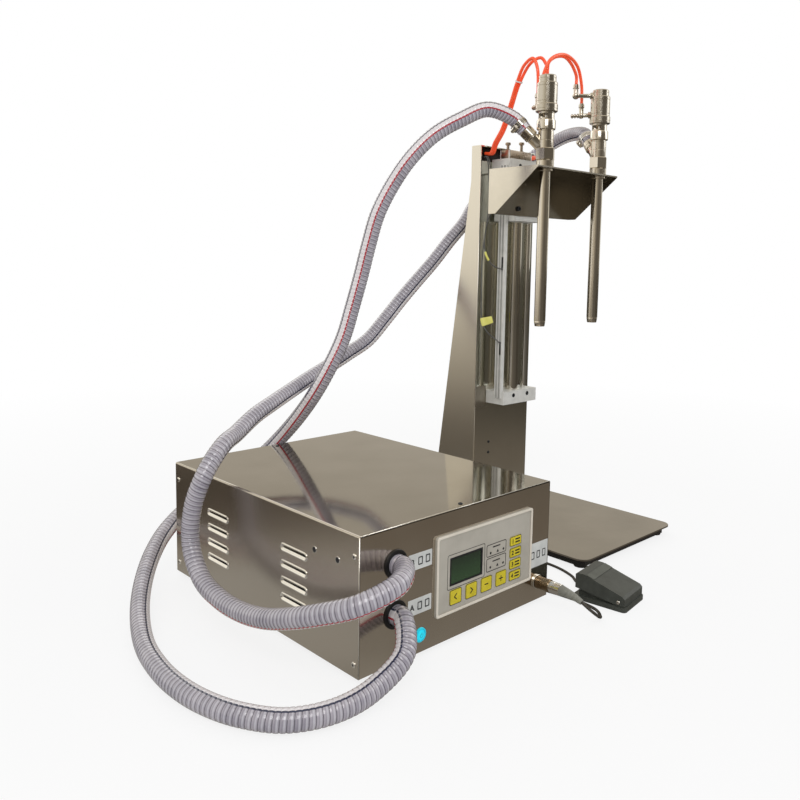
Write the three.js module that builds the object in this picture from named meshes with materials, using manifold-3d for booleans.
// A two-nozzle liquid filling machine: a pump box, a stand with a sliding nozzle bracket,
// two hoses and a foot pedal. Millimetres, +Z up, the box's front is on -Y.

import * as THREE from 'three'
import { mergeVertices } from 'three/addons/utils/BufferGeometryUtils.js'
import Module from 'manifold-3d'

const wasm = await Module()
wasm.setup()

// Shared clearances and counts
const seatGap = 0.3
const overrun = 4
const jointLap = 0.5
const weldDistance = 0.0001
const fineSides = 14
const middleSides = 10
const coarseSides = 6
const cordSides = 8
const leadSides = 5

// Box: chassis, cover and feet
const boxWidth = 420
const boxDepth = 510
const boxHeight = 200
const boxSheet = 1.5
const footHeight = 8
const lidSeam = 1
const boxTop = footHeight + boxHeight
const lidBendRadius = 3
const flangeDepth = 20
const sideLipHeight = 12
const footRadius = 14
const footSoleRadius = 12
const footInset = 34
const footScrewRadius = 4
const footScrewDepth = 3
const ventLength = 61
const ventHeight = 6.5
const ventCentreY = 257
const ventColumnOffset = 108
const ventDrop = 63
const ventTopZ = boxTop - ventDrop
const ventPitch = 25.7
const ventRows = 4

// Hose outlets on the box's front
const hoseWallX = 66.5
const outletDrop = 54
const outletPitch = 73
const outletBZ = boxTop - outletDrop
const outletAZ = outletBZ - outletPitch
const grommetRadius = 21

// Control panel right of the outlets, with its window, keys and board
const panelWidth = 224.5
const panelHeight = 123
const panelPlaceShare = 0.5324
const panelRiseShare = 0.5455
const outletsRight = hoseWallX + grommetRadius
const panelLeft = outletsRight + panelPlaceShare * (boxWidth - outletsRight - panelWidth)
const panelBottom = footHeight + panelRiseShare * (boxHeight - panelHeight)
const panelThickness = 3
const panelRimProud = 4.2
const panelRimWidth = 4
const panelCorner = 4
const panelSeatWidth = 8
const windowInset = 29
const windowRise = 42
const windowWidth = 73
const windowHeight = 43
const windowRecess = 0.8
const displayFrameWidth = 6
const displayFrameDepth = 4.7
const keyProud = 0.9
const keyCorner = 2.5
const keyFlange = 1.4
const keyFlangeDepth = 1.2
const keyTravel = 0.6
const bottomKeyWidth = 25
const bottomKeyHeight = 23
const bottomKeyInset = 41.8
const bottomKeyPitch = 35.1
const bottomKeyRise = 23.5
const sideKeyWidth = 28
const sideKeyHeight = 15
const sideKeyInset = 182
const sideKeyRise = 77
const sideKeyPitch = 19.1
const sideKeyCount = 4
const plungerRadius = 2
const plungerReach = 8
const boardPostRadius = 3.5
const boardPostReach = 12
const boardThickness = 1.6
const boardMargin = 11
const switchSize = 6
const windowLeft = panelLeft + windowInset
const windowBottom = panelBottom + windowRise
const bottomKeyX = panelLeft + bottomKeyInset
const bottomKeyZ = panelBottom + bottomKeyRise
const sideKeyX = panelLeft + sideKeyInset
const sideKeyTopZ = panelBottom + sideKeyRise

// Power button
const powerX = 117
const powerZ = 34.5
const bezelRadius = 11
const bezelProud = 2
const bezelBarrelRadius = 9
const bezelWall = 3
const buttonRadius = 7.5
const buttonProud = 2.8
const buttonLength = 20
const buttonTravel = 2.5
const buttonSpareDepth = 1.3
const bezelDepth = buttonLength - buttonProud + buttonTravel + buttonSpareDepth + bezelWall

// Hoses, their grommets and the two pumps behind them, with the hose seats' sizes
const hoseRadius = 15
const hoseRootRadius = 13.7
const hoseBoreRadius = 11.8
const hoseRibs = 66
const hoseRingPoints = 8
const hoseBoreSlack = 1.1
const hoseBoreLongestStepInRibs = 5
const leastTurn = 0.01
const grommetHoleRadius = 18
const grommetBoreRadius = 15.6
const grommetLip = 3
const hoseInset = 40
const barbRadius = 10.3
const barbRootRadius = 9.4
const barbLength = 26
const barbRidgeShares = [0.5]
const ribEdgeShares = [0.3, 0.7]
const inletRidgeShares = [0.3, 0.7]
const outletBoreRadius = 7
const pumpCollarDepth = 6
const pumpRadius = 33
const pumpBackY = 88
const chamberRadius = 26
const chamberFrontY = 52
const chamberBackY = 80
const shaftRadius = 4
const shaftGap = 0.4
const shaftEndY = 120
const rotorHubRadius = 8
const rotorBladeReach = 25.2
const rotorBladeWidth = 3
const rotorBlades = 6
const motorRadius = 30
const motorEndY = 212
const motorBoreDepth = 34
const motorCapRadius = 26
const motorCapDepth = 8
const pumpBracketSheet = 3
const pumpBracketFoot = 32
const pumpBracketMargin = 5
const pumpBracketBossRadius = 10
const inletPipeRadius = 8
const inletBoreRadius = 5.5
const inletY = 66
const inletX = 265
const inletReach = 38
const inletNutRadius = 14
const inletNutDepth = 8

// Other pieces in the box
const supplyWidth = 140
const supplyDepth = 210
const supplyHeight = 50
const supplySideGap = 30
const supplyBackGap = 50
const supplyStripDepth = 14
const mainsInset = 70
const mainsZ = 45
const mainsFlangeWidth = 50
const mainsFlangeHeight = 28
const mainsFlangeThickness = 3
const mainsBodyWidth = 28
const mainsBodyHeight = 21
const mainsBodyDepth = 24
const mainsWall = 1.8
const mainsPinWidth = 2
const mainsPinHeight = 4.5
const mainsPinLength = 15
const mainsPinSpread = 7
const mainsX = boxWidth - mainsInset

// Pedal socket and plug at the box's right front
const socketInset = 29
const socketZ = 40
const socketFlangeRadius = 12
const socketFlangeDepth = 3
const socketBarrelRadius = 9
const socketBarrelReach = 20
const socketTailRadius = 8.4
const socketTailDepth = 22
const socketNutRadius = 11
const plugNutRadius = 10.8
const plugNutEnd = 28
const plugRingRadius = 9.6
const plugRingEnd = 50
const glandReach = 90
const glandDroop = 7
const glandBaseRadius = 9
const glandTipRadius = 4.4
const glandDroopShares = [0.125, 0.417]
const socketX = boxWidth - socketInset

// Stand: base plate and column
const standX = 730
const baseWidth = 326
const baseFront = 22
const baseDepth = 478
const baseTop = 22
const baseSheet = 3
const baseCorner = 22
const baseLeft = standX - baseWidth / 2
const baseRight = standX + baseWidth / 2
const baseBack = baseFront + baseDepth
const frameInset = 12
const frameTubeWidth = 22
const padHeight = 4
const padRadius = 13
const columnWidth = 185
const columnInset = 136
const columnTopDepth = 26
const columnFootDepth = 122
const columnTop = 819
const columnStepDrop = 74
const columnSheet = 2.5
const columnLip = 14
const columnNotchHeight = 30
const columnFront = baseBack - columnInset
const columnBackTop = columnFront + columnTopDepth
const columnBackFoot = columnFront + columnFootDepth
const columnStepZ = columnTop - columnStepDrop

// Slide: two heads, two rods, a tube and a sensor rail on the column's front
const headWidth = 116
const headDepth = 52
const bottomHeadZ = 262
const topHeadDrop = 56
const headHeight = 28
const headCorner = 3
const rodOffset = 42
const rodStandoff = 26
const rodRadius = 7
const rodSeatDepth = 14
const tubeRadius = 14
const tubeWall = 2.5
const tubeSeatDepth = 10
const headHoleRadius = 4.5
const headHoleOffset = 24
const headHoleDepth = 8
const railDepth = 9
const railWidth = 18
const railStandoff = 47
const railNotchDepth = 4.5
const railSeatDepth = 14
const railGrooveWidth = 5
const railGrooveDepth = 4
const portBlockWidth = 77
const portBlockOffset = 46
const portBlockDepth = 25
const portBlockStandoff = 39
const portBlockHeight = 19
const portStudHeights = [17, 22]
const portStudShares = [0.13, 0.727]
const portStudRadius = 3
const portKnobRadius = 5.5
const portKnobHeight = 5
const pistonLength = 60
const leadRadius = 1.5
const leadStep = 25
const headFront = columnFront - headDepth
const topHeadZ = columnTop - topHeadDrop
const rodY = columnFront - rodStandoff
const railFront = columnFront - railStandoff

// Moving carriage: slide block, bracket and two nozzles
const blockWidth = 106
const blockDepth = 59
const blockStandoff = 6
const blockHeight = 100
const restGap = 3
const bracketWidth = 280
const bracketDepth = 122
const bracketSheet = 3
const bracketDrop = 90
const gussetFoot = 18
const nozzleSpacing = 186
const nozzleInset = 19
const nozzleTubeRadius = 11.5
const nozzleBoreRadius = 8.5
const nozzleTipRadius = 9.75
const nozzleReach = 315
const nozzleTaper = 10
const tipHoleRadius = 6.5
const tipLipHeight = 3
const tipConeHeight = 2
const shelfNutRadius = 16
const shelfNutHeight = 5
const lowerNutRadius = 17.5
const lowerNutHeight = 13
const hexAcross = 34
const hexHeight = 24
const neckHeight = 35
const valveNeckRadius = 15.3
const unionNutRadius = 18.5
const unionNutHeight = 19
const yokeHeight = 15
const yokeWindowWidth = 12
const yokeWindowInset = 3
const branchHeight = 31
const branchRise = 45
const branchAzimuths = [-38, 27]
const branchRadius = 11.6
const branchCollarRadius = 12.6
const branchCollarStart = 36
const hoseStart = 58
const branchBarbLength = 26
const stemRadius = 3
const stemGap = 0.4
const plugRadius = 8
const plugHeight = 10
const blockBack = columnFront - blockStandoff
const blockFront = blockBack - blockDepth
const shelfTop = topHeadZ - restGap
const bracketFront = blockFront - bracketDepth
const nozzleY = bracketFront + nozzleInset
const nozzleTipZ = shelfTop - nozzleReach
const lowerNutTop = shelfTop + lowerNutHeight
const hexTop = lowerNutTop + hexHeight
const unionNutBottom = hexTop + neckHeight
const unionNutTop = unionNutBottom + unionNutHeight
const yokeTop = unionNutTop + yokeHeight
const branchZ = shelfTop + branchHeight

// Air actuators on the valves
const bandRadius = 21.5
const bandHeight = 15
const actuatorRadius = 20
const actuatorHeight = 41
const capRadius = 17
const capHeight = 14
const airBoreRadius = 15.5
const airWall = 6
const airPistonHeight = 10
const upperPortDrop = 11.5
const lowerPortRise = 5
const portSink = 2
const portRadius = 4.6
const collarRadius = 6.6
const elbowRadius = 8
const upperLegHeight = 23.5
const lowerLegHeight = 25
const legCollarHeight = 9
const legNeckShare = 0.8
const silencerReach = 24
const silencerRadius = 4.6
const silencerWaist = 3
const silencerRidges = 3
const silencerRidgeShare = 0.6
const airTubeRadius = 3
const bandTop = yokeTop + bandHeight
const actuatorTop = bandTop + actuatorHeight
const capTop = actuatorTop + capHeight
const upperPortZ = capTop - upperPortDrop
const lowerPortZ = bandTop + lowerPortRise
const upperLegTop = upperPortZ + upperLegHeight
const lowerLegTop = lowerPortZ + lowerLegHeight
// Two actuators: the azimuth of each port and how far out its tube legs stand
const upperAzimuths = [52, -42]
const lowerAzimuths = [30, -22]
const upperLegReaches = [[44, 58], [52]]
const lowerLegReaches = [[33, 47], [40]]

// Air valve in the column's head
const valveBlockWidth = 46
const valveBlockDepth = 20
const valveBlockHeight = 78
const valveBlockDrop = 41
const airTubeDepthShare = 0.7
const airExitInset = 17.5
const airExitDrop = 16
const airExitPitch = 8
const airExitDepth = 4
const valveBlockTop = columnTop - valveBlockDrop
const valveBlockBottom = valveBlockTop - valveBlockHeight
const airExitX = standX - columnWidth / 2 + airExitInset
const airExitZ = columnTop - airExitDrop

// Foot pedal
const pedalOffset = 113
const pedalX = socketX + pedalOffset
const pedalY = -69
const pedalTurn = 8
const pedalWidth = 80
const pedalLength = 95
const pedalLip = 8
const pedalLipCorner = 7
const pedalInset = 3
const pedalWall = 2.6
const pedalFrontHeight = 24
const pedalBackHeight = 46
const pedalTopFlat = 16
const pedalCoreHeight = 15
const pedalCoreInset = 8
const pedalCoreFrontGap = 24
const pivotFromFront = 14
const pivotZ = 14
const pivotRadius = 3
const pivotEarWidth = 5
const pivotEarRadius = 6
const pedalSwing = 8
const pedalBandProud = 0.9
const pedalBandShares = [0.62, 0.78]
const pedalCableX = 20
const pedalCableZ = 4.4
const pedalReliefLength = 12
const pedalReliefRadius = 3.6

// Pedal cable and its coil on the floor
const cableRadius = 2.5
const cableStep = 15
const coilX = 500
const coilY = 165
const coilOuterRadius = 36
const coilPitch = 6.4
const coilTurns = 2
const coilSides = 6
const coilStepsPerTurn = 24

// Routes, chosen by hand: hoses from nozzle to outlet, air tubes and pedal cable
const hoseRoute1 = [
  [546, 268, 868], [495, 292, 845], [448, 318, 813],
  [411, 342, 769], [385, 365, 718], [363, 382, 662], [352, 395, 603], [342, 406, 542],
  [328, 414, 482], [310, 419, 423], [283, 426, 367], [264, 449, 313], [253, 486, 264],
  [237, 524, 218], [200, 548, 175], [147, 558, 144], [90, 560, 120], [33, 551, 97],
  [-18, 523, 77], [-61, 482, 60], [-98, 434, 45], [-130, 382, 31], [-156, 327, 21],
  [-177, 268, 16], [-190, 208, 15.5], [-195, 146, 15.5], [-189, 84, 15.5], [-169, 25, 15.5],
  [-133, -24, 16], [-77, -51, 19], [-16, -54, 27], [39, -49, 53]]
const hoseRoute2 = [
  [869, 306, 859], [873, 364, 842], [867, 416, 811],
  [839, 454, 773], [796, 473, 734], [745, 475, 702], [702, 466, 661], [661, 475, 617],
  [622, 485, 571], [579, 492, 529], [535, 497, 487], [492, 501, 444], [447, 504, 403],
  [392, 504, 377], [335, 498, 355], [278, 488, 336], [222, 470, 320], [167, 448, 306],
  [112, 426, 291], [60, 402, 271], [11, 367, 262], [-31, 351, 225], [-49, 360, 168],
  [-54, 356, 108], [-60, 312, 69], [-63, 253, 57], [-64, 192, 58], [-64, 132, 69],
  [-61, 74, 88], [-51, 18, 110], [-26, -32, 132], [27, -47, 150]]
const airRoute1 = [
  [657, 345, 822], [662, 330, 850], [663, 312, 893], [660, 290, 942], [659, 272, 972],
  [660, 252, 982], [660, 240, 962]]
const airRoute2 = [
  [666, 345, 822], [671, 330, 850], [671, 312, 893], [669, 290, 942], [675, 268, 978],
  [681, 248, 986], [683, 236, 972]]
const jumperRoute1 = [[676, 224, 972], [703, 227, 988], [737, 229, 994], [768, 233, 984], [786, 234, 966]]
const jumperRoute2 = [[655, 220, 945], [664, 213, 972], [700, 214, 990], [745, 221, 993], [785, 229, 980],
  [805, 233, 950]]
const cableRouteOut = [[393, -107, 24], [405, -114, 13], [425, -104, 5], [443, -84, 3], [449, -50, 3],
  [447, -10, 3], [440, 40, 3], [441, 85, 3], [455, 124, 3]]
const cableRouteBack = [[538, 128, 4], [547, 98, 3], [544, 60, 3], [531, 24, 3]]
const leadRoute1 = [[660, 341, 700], [648, 346, 640], [646, 352, 600], [656, 335, 572], [667, 321, 560]]
const leadRoute2 = [[655, 350, 700], [645, 355, 560], [648, 352, 470], [654, 340, 430], [667, 321, 395]]

// Worked out from the sizes above
const headLeft = standX - headWidth / 2
const headRight = standX + headWidth / 2
const nozzleXs = [standX - nozzleSpacing / 2, standX + nozzleSpacing / 2]
const pumpFrontY = hoseInset + pumpCollarDepth
const branchSlope = THREE.MathUtils.degToRad(branchRise)

// Turns a geometry's triangles outwards and drops those with no area
function weld(geometry) {
  const bare = geometry.clone()
  bare.deleteAttribute('normal')
  bare.deleteAttribute('uv')
  const merged = mergeVertices(bare, weldDistance)
  const place = merged.attributes.position
  const index = []
  const source = merged.index.array
  let volume = 0
  const corners = [new THREE.Vector3(), new THREE.Vector3(), new THREE.Vector3()]
  for (let i = 0; i < source.length; i += 3) {
    const triangle = [source[i], source[i + 1], source[i + 2]]
    if (new Set(triangle).size < triangle.length) continue
    index.push(...triangle)
    corners.forEach((corner, k) => corner.fromBufferAttribute(place, triangle[k]))
    volume += corners[0].dot(corners[1].clone().cross(corners[2]))
  }
  if (volume < 0) {
    for (let i = 0; i < index.length; i += 3) [index[i], index[i + 1]] = [index[i + 1], index[i]]
  }
  merged.setIndex(index)
  return merged
}

function toSolid(geometry) {
  const merged = weld(geometry)
  return new wasm.Manifold(new wasm.Mesh({
    numProp: 3,
    vertProperties: new Float32Array(merged.attributes.position.array),
    triVerts: new Uint32Array(merged.index.array),
  }))
}

function toGeometry(solid) {
  const mesh = solid.asOriginal().simplify(weldDistance).getMesh()
  const geometry = new THREE.BufferGeometry()
  geometry.setAttribute('position', new THREE.BufferAttribute(new Float32Array(mesh.vertProperties), 3))
  geometry.setIndex([...mesh.triVerts])
  return geometry
}

function join(...parts) {
  return toGeometry(parts.map(toSolid).reduce((whole, part) => whole.add(part)))
}

function cut(base, ...tools) {
  return toGeometry(tools.map(toSolid).reduce((whole, tool) => whole.subtract(tool), toSolid(base)))
}

// A box between pairs of limits along X, Y and Z
function block([x0, x1], [y0, y1], [z0, z1]) {
  const geometry = new THREE.BoxGeometry(x1 - x0, y1 - y0, z1 - z0)
  return geometry.translate((x0 + x1) / 2, (y0 + y1) / 2, (z0 + z1) / 2)
}

// A round bar between two points
function rod(from, to, radius, sides = middleSides, endRadius = radius) {
  const start = new THREE.Vector3(...from)
  const along = new THREE.Vector3(...to).sub(start)
  const geometry = new THREE.CylinderGeometry(endRadius, radius, along.length(), sides)
  geometry.translate(0, along.length() / 2, 0)
  geometry.applyQuaternion(new THREE.Quaternion().setFromUnitVectors(new THREE.Vector3(0, 1, 0),
    along.normalize()))
  return geometry.translate(...from)
}

const axes = {
  x: [new THREE.Vector3(0, 1, 0), new THREE.Vector3(0, 0, 1), new THREE.Vector3(1, 0, 0)],
  y: [new THREE.Vector3(1, 0, 0), new THREE.Vector3(0, 0, 1), new THREE.Vector3(0, -1, 0)],
  z: [new THREE.Vector3(1, 0, 0), new THREE.Vector3(0, 1, 0), new THREE.Vector3(0, 0, 1)],
}

// Extrudes a shape along one axis. Its own axes are the two others: Y and Z, X and Z, or X and Y.
function prism(shape, axis, from, to, curveSegments = 4) {
  const geometry = new THREE.ExtrudeGeometry(shape, { depth: to - from, bevelEnabled: false, curveSegments })
  geometry.applyMatrix4(new THREE.Matrix4().makeBasis(...axes[axis]))
  const start = axis === 'y' ? axes[axis][2].clone().multiplyScalar(-to)
    : axes[axis][2].clone().multiplyScalar(from)
  return geometry.translate(start.x, start.y, start.z)
}

function polygon(points) {
  return new THREE.Shape(points.map(([x, y]) => new THREE.Vector2(x, y)))
}

// A rectangle with rounded corners, given by its limits
function roundedRectangle([x0, x1], [y0, y1], radius) {
  const shape = new THREE.Shape()
  shape.absarc(x1 - radius, y1 - radius, radius, 0, Math.PI / 2)
  shape.absarc(x0 + radius, y1 - radius, radius, Math.PI / 2, Math.PI)
  shape.absarc(x0 + radius, y0 + radius, radius, Math.PI, 1.5 * Math.PI)
  shape.absarc(x1 - radius, y0 + radius, radius, 1.5 * Math.PI, 2 * Math.PI)
  shape.closePath()
  return shape
}

// Revolves a profile of [radius, height] pairs about a vertical line, or one along +Y
function turned(profile, [x, y, z], axis = 'z', sides = fineSides) {
  const geometry = new THREE.LatheGeometry(profile.map(([r, h]) => new THREE.Vector2(r, h)), sides)
  if (axis === 'z') geometry.rotateX(Math.PI / 2)
  return geometry.translate(x, y, z)
}

// Joins rings of points into one closed skin: capped at its ends, or looped back to its first ring
function skin(rings, looped = false) {
  const count = rings[0].length
  const points = rings.flat()
  const index = []
  const bands = looped ? rings.length : rings.length - 1
  for (let i = 0; i < bands; i += 1) {
    const a = i * count
    const b = ((i + 1) % rings.length) * count
    for (let k = 0; k < count; k += 1) {
      const next = (k + 1) % count
      index.push(a + k, a + next, b + next, a + k, b + next, b + k)
    }
  }
  if (!looped) {
    const last = (rings.length - 1) * count
    for (let k = 1; k < count - 1; k += 1) {
      index.push(0, k + 1, k)
      index.push(last, last + k, last + k + 1)
    }
  }
  const geometry = new THREE.BufferGeometry()
  geometry.setAttribute('position',
    new THREE.Float32BufferAttribute(points.flatMap((p) => [p.x, p.y, p.z]), 3))
  geometry.setIndex(index)
  return weld(geometry)
}

// Rings of points round a curve at stations from 0 to 1, carried along without twist
function ringsAlong(curve, stations, radiusAt, count) {
  let normal = null
  return stations.map((t) => {
    const tangent = curve.getTangentAt(t)
    const centre = curve.getPointAt(t)
    const guide = normal ?? (Math.abs(tangent.z) < 0.9 ? new THREE.Vector3(0, 0, 1) : new THREE.Vector3(1,
      0, 0))
    normal = guide.clone().addScaledVector(tangent, -guide.dot(tangent)).normalize()
    const side = tangent.clone().cross(normal)
    return Array.from({ length: count }, (_, k) => {
      const angle = (2 * Math.PI * k) / count
      return centre.clone()
        .addScaledVector(normal, radiusAt(t) * Math.cos(angle))
        .addScaledVector(side, radiusAt(t) * Math.sin(angle))
    })
  })
}

function evenStations(count) {
  return Array.from({ length: count + 1 }, (_, i) => i / count)
}

// A smooth curve through points
function curveThrough(points) {
  const curve = new THREE.CatmullRomCurve3(points.map((p) => new THREE.Vector3(...p)), false, 'centripetal')
  curve.arcLengthDivisions = 2000
  return curve
}

// A plain round tube along a route, with flat ends
function tubeAlong(points, radius, sides, step) {
  const curve = curveThrough(points)
  const section = new THREE.Shape()
  for (let k = 0; k < sides; k += 1) {
    const angle = (2 * Math.PI * k) / sides
    const corner = [radius * Math.cos(angle), radius * Math.sin(angle)]
    if (k === 0) section.moveTo(...corner)
    else section.lineTo(...corner)
  }
  section.closePath()
  const steps = Math.max(2, Math.round(curve.getLength() / step))
  return weld(new THREE.ExtrudeGeometry(section, { steps, extrudePath: curve, bevelEnabled: false }))
}

const machine = new THREE.Group()

function add(name, geometry, color, roughness, metalness) {
  const shown = geometry.toNonIndexed()
  shown.computeVertexNormals()
  const mesh = new THREE.Mesh(shown, new THREE.MeshStandardMaterial({ color, roughness, metalness }))
  mesh.name = name
  machine.add(mesh)
  return mesh
}

// Box chassis: front, floor and back in one folded sheet with flanges for the cover's screws
const chassisLeft = boxSheet + seatGap
const chassisRight = boxWidth - boxSheet - seatGap
const chassisTop = boxTop - boxSheet - lidSeam
const panelRight = panelLeft + panelWidth
const panelTop = panelBottom + panelHeight
const shell = cut(
  block([chassisLeft, chassisRight], [0, boxDepth], [footHeight, chassisTop]),
  block([chassisLeft + boxSheet, chassisRight - boxSheet], [boxSheet, boxDepth - boxSheet],
    [footHeight + boxSheet, chassisTop - boxSheet]),
  block([-overrun, boxWidth], [flangeDepth, boxDepth - flangeDepth], [footHeight + sideLipHeight, boxTop]),
)
const frontHoles = [
  rod([hoseWallX, -overrun, outletAZ], [hoseWallX, overrun, outletAZ], grommetHoleRadius, fineSides),
  rod([hoseWallX, -overrun, outletBZ], [hoseWallX, overrun, outletBZ], grommetHoleRadius, fineSides),
  rod([powerX, -overrun, powerZ], [powerX, overrun, powerZ], bezelBarrelRadius + seatGap, fineSides),
  rod([socketX, -overrun, socketZ], [socketX, overrun, socketZ], socketTailRadius + seatGap, fineSides),
  block([panelLeft + panelSeatWidth, panelRight - panelSeatWidth], [-overrun, overrun],
    [panelBottom + panelSeatWidth, panelTop - panelSeatWidth]),
]
const backHoles = [outletAZ, outletBZ].map((z) => rod([inletX, boxDepth - overrun, z],
  [inletX, boxDepth + overrun, z], inletPipeRadius + seatGap))
backHoles.push(block([mainsX - mainsBodyWidth / 2 - seatGap, mainsX + mainsBodyWidth / 2 + seatGap],
  [boxDepth - overrun, boxDepth + overrun],
  [mainsZ - mainsBodyHeight / 2 - seatGap, mainsZ + mainsBodyHeight / 2 + seatGap]))
add('box_chassis', cut(shell, ...frontHoles, ...backHoles), 0x8a7c6e, 0.38, 0.85)

// Box cover: top and two sides, bent at the long edges, with rows of vent slots
function coverOutline(inset, bottom) {
  const left = inset
  const right = boxWidth - inset
  const top = boxTop - inset
  const bend = lidBendRadius - inset
  const shape = new THREE.Shape()
  shape.moveTo(left, bottom)
  shape.lineTo(right, bottom)
  shape.absarc(right - bend, top - bend, bend, 0, Math.PI / 2)
  shape.absarc(left + bend, top - bend, bend, Math.PI / 2, Math.PI)
  shape.closePath()
  return shape
}
function ventSlot(y, z) {
  const half = (ventLength - ventHeight) / 2
  const slot = new THREE.Shape()
  slot.absarc(y + half, z, ventHeight / 2, -Math.PI / 2, Math.PI / 2)
  slot.absarc(y - half, z, ventHeight / 2, Math.PI / 2, 1.5 * Math.PI)
  slot.closePath()
  return prism(slot, 'x', -overrun, boxWidth + overrun, 3)
}
const vents = []
for (let row = 0; row < ventRows; row += 1) {
  for (const side of [-1, 1]) vents.push(ventSlot(ventCentreY + side * ventColumnOffset,
    ventTopZ - row * ventPitch))
}
add('box_cover', cut(
  prism(coverOutline(0, footHeight), 'y', 0, boxDepth, 3),
  prism(coverOutline(boxSheet, footHeight - overrun), 'y', -overrun, boxDepth + overrun, 3),
  ...vents,
), 0x9b9285, 0.36, 0.85)

const footProfile = [[0, footScrewDepth], [footScrewRadius, footScrewDepth], [footScrewRadius, 0],
  [footSoleRadius, 0], [footRadius, footHeight], [0, footHeight]]
for (const [depthName, y] of [['front', footInset], ['rear', boxDepth - footInset]]) {
  for (const [sideName, x] of [['left', footInset], ['right', boxWidth - footInset]]) {
    add(`box_foot_${depthName}_${sideName}`, turned(footProfile, [x, y, 0], 'z', middleSides), 0x1b1b1b,
      0.9, 0)
  }
}

// Control panel: a raised frame with openings for the window and the keys
const keys = []
const bottomKeyNames = ['key_left', 'key_right', 'key_minus', 'key_plus']
bottomKeyNames.forEach((name, i) => keys.push({
  name, x: bottomKeyX + i * bottomKeyPitch, z: bottomKeyZ, width: bottomKeyWidth, height: bottomKeyHeight,
}))
for (let i = 0; i < sideKeyCount; i += 1) {
  keys.push({
    name: `key_side_${i + 1}`, x: sideKeyX, z: sideKeyTopZ - i * sideKeyPitch, width: sideKeyWidth,
      height: sideKeyHeight,
  })
}
function keyOutline(key, margin) {
  return roundedRectangle([key.x - key.width / 2 - margin, key.x + key.width / 2 + margin],
    [key.z - key.height / 2 - margin, key.z + key.height / 2 + margin], keyCorner + Math.max(margin, 0))
}
const windowX = [windowLeft, windowLeft + windowWidth]
const windowZ = [windowBottom, windowBottom + windowHeight]
const panelPlate = roundedRectangle([panelLeft, panelRight], [panelBottom, panelTop], panelCorner)
const panelRim = roundedRectangle([panelLeft, panelRight], [panelBottom, panelTop], panelCorner)
panelPlate.holes = keys.map((key) => keyOutline(key, seatGap))
panelPlate.holes.push(polygon([[windowX[0], windowZ[0]], [windowX[1], windowZ[0]], [windowX[1], windowZ[1]],
  [windowX[0], windowZ[1]]]))
panelRim.holes = [roundedRectangle([panelLeft + panelRimWidth, panelRight - panelRimWidth],
  [panelBottom + panelRimWidth, panelTop - panelRimWidth], panelCorner)]
const boardX = [panelLeft + boardMargin, panelRight - boardMargin]
const boardZ = [panelBottom + boardMargin, panelTop - boardMargin]
const postInset = 2 * boardPostRadius
const panelPosts = boardX.flatMap((x, i) => boardZ.map((z, k) => {
  const postX = x + (i === 0 ? postInset : -postInset)
  const postZ = z + (k === 0 ? postInset : -postInset)
  return rod([postX, -panelThickness / 2, postZ], [postX, boardPostReach, postZ], boardPostRadius,
    coarseSides)
}))
add('control_panel', join(prism(panelPlate, 'y', -panelThickness, 0, 1),
  prism(panelRim, 'y', -panelRimProud, 0, 1), ...panelPosts), 0xa9a398, 0.5, 0.1)

add('display_window', join(
  block([windowX[0] + seatGap, windowX[1] - seatGap], [windowRecess - panelThickness, seatGap + jointLap],
    [windowZ[0] + seatGap, windowZ[1] - seatGap]),
  block([windowX[0] - displayFrameWidth, windowX[1] + displayFrameWidth], [seatGap, displayFrameDepth],
    [windowZ[0] - displayFrameWidth / 2, windowZ[1] + displayFrameWidth]),
), 0x2f4230, 0.2, 0)

for (const key of keys) {
  add(key.name, join(
    prism(keyOutline(key, 0), 'y', -panelThickness - keyProud, seatGap + jointLap, 1),
    prism(keyOutline(key, keyFlange), 'y', seatGap, seatGap + keyFlangeDepth, 1),
    rod([key.x, seatGap, key.z], [key.x, plungerReach, key.z], plungerRadius, coarseSides),
  ), 0xd8c020, 0.45, 0)
}

const switchFront = plungerReach + keyTravel + seatGap
const boardBack = boardPostReach + boardThickness
add('control_board', join(
  block(boardX, [boardPostReach, boardBack], boardZ),
  ...keys.map((key) => block([key.x - switchSize / 2, key.x + switchSize / 2], [switchFront, boardBack],
    [key.z - switchSize / 2, key.z + switchSize / 2])),
  block([windowX[0], windowX[1]], [boardPostReach, boardBack + switchSize],
    [windowZ[0], windowZ[0] + switchSize]),
  block([sideKeyX - sideKeyWidth, sideKeyX], [boardPostReach, boardBack + 2 * switchSize],
    [sideKeyTopZ - sideKeyPitch, sideKeyTopZ]),
), 0x1f5a35, 0.6, 0)

// Power button: a chrome bezel with a sprung cap
add('power_button_ring', turned([[0, bezelDepth], [0, bezelDepth - bezelWall],
  [buttonRadius + seatGap, bezelDepth - bezelWall], [buttonRadius + seatGap, -bezelProud],
  [bezelRadius, -bezelProud / 2], [bezelRadius, 0], [bezelBarrelRadius, 0], [bezelBarrelRadius, bezelDepth],
  [0, bezelDepth]], [powerX, 0, powerZ], 'y', fineSides), 0xc9c9c9, 0.15, 1)
add('power_button', turned([[0, -buttonProud], [buttonRadius - buttonProud / 4, -buttonProud],
  [buttonRadius, -buttonProud / 2], [buttonRadius, buttonLength - buttonProud],
    [0, buttonLength - buttonProud]],
[powerX, 0, powerZ], 'y', fineSides), 0x20e0f0, 0.3, 0)

// Grommets, pumps, motors and rotors, one set for each outlet
const grommetProfile = [[grommetBoreRadius, -grommetLip], [grommetRadius - grommetLip / 3, -grommetLip],
  [grommetRadius, -grommetLip / 2], [grommetRadius, 0], [grommetHoleRadius - seatGap, 0],
  [grommetHoleRadius - seatGap, boxSheet], [grommetRadius, boxSheet],
  [grommetBoreRadius, boxSheet + grommetLip], [grommetBoreRadius, -grommetLip]]

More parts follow.
